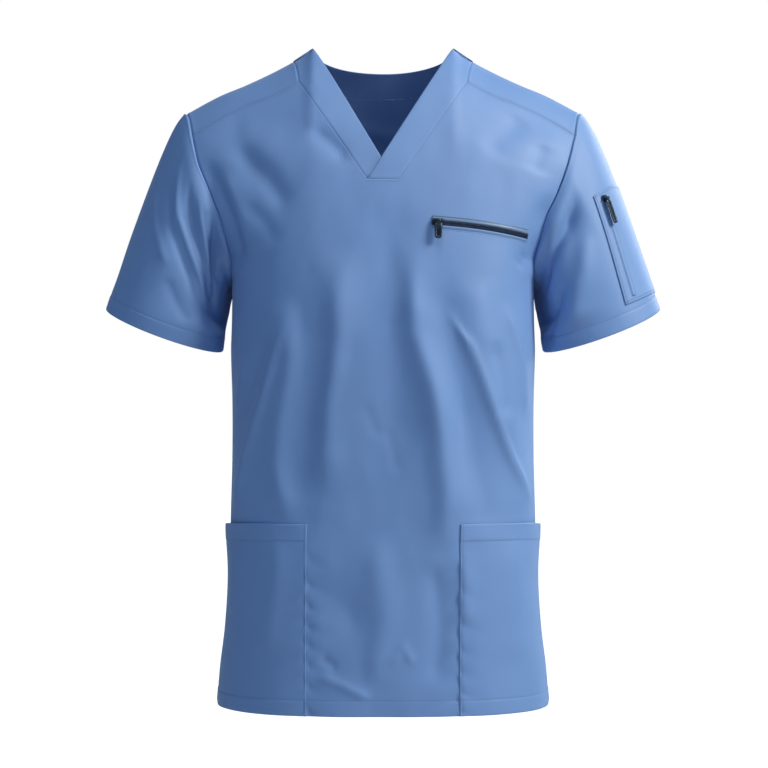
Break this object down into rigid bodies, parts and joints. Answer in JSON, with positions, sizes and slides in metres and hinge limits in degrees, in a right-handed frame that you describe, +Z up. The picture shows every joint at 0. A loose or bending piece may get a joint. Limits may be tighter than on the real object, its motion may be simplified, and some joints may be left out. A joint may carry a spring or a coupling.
{
  "type": "medical scrub top, short-sleeved, V-neck",
  "caption": "Hollow worn form of a short-sleeved V-neck scrub top with shoulder yokes, lower patch pockets, a chest zip and a zipped sleeve pocket.",
  "frame": {"origin": "between the shoulders, where the neck opening's top lies, on the line of the shoulder seams' depth", "axes": "+Z up along the body, -Y out of the garment's front, +X towards the wearer's left sleeve"},
  "size_m": [0.636, 0.254, 0.7492],
  "materials": {
    "scrub_cloth": "smooth mid blue poly-cotton twill with a slight sheen",
    "zip_tape": "dark woven zip tape and nylon coil",
    "dark_metal": "dark gunmetal, polished"
  },
  "bodies": {
    "garment": {"front_panel": "scrub_cloth", "back_panel": "scrub_cloth", "yoke_left": "scrub_cloth", "yoke_right": "scrub_cloth", "sleeve_left": "scrub_cloth", "sleeve_right": "scrub_cloth", "sleeve_left_under": "scrub_cloth", "sleeve_right_under": "scrub_cloth", "neck_band_left": "scrub_cloth", "neck_band_right": "scrub_cloth", "neck_band_back": "scrub_cloth", "pocket_left": "scrub_cloth", "pocket_right": "scrub_cloth", "sleeve_pocket": "scrub_cloth", "zip_chest_tape": "zip_tape", "zip_chest_slider": "dark_metal", "zip_sleeve_tape": "zip_tape", "zip_sleeve_slider": "dark_metal"},
    "chest_pull": {"zip_chest_pull": "dark_metal"},
    "sleeve_pull": {"zip_sleeve_pull": "dark_metal"}
  },
  "joints": [
    {"name": "chest_pull_lift", "type": "hinge", "parent": "garment", "child": "chest_pull", "pos_m": [0.06115, -0.11827, -0.20218], "axis": [-0.9921, -0.1117, 0.0566], "range_deg": [0, 150]},
    {"name": "sleeve_pull_lift", "type": "hinge", "parent": "garment", "child": "sleeve_pull", "pos_m": [0.25278, -0.05287, -0.17194], "axis": [-0.7102, -0.6682, -0.2219], "range_deg": [0, 150]}
  ]
}
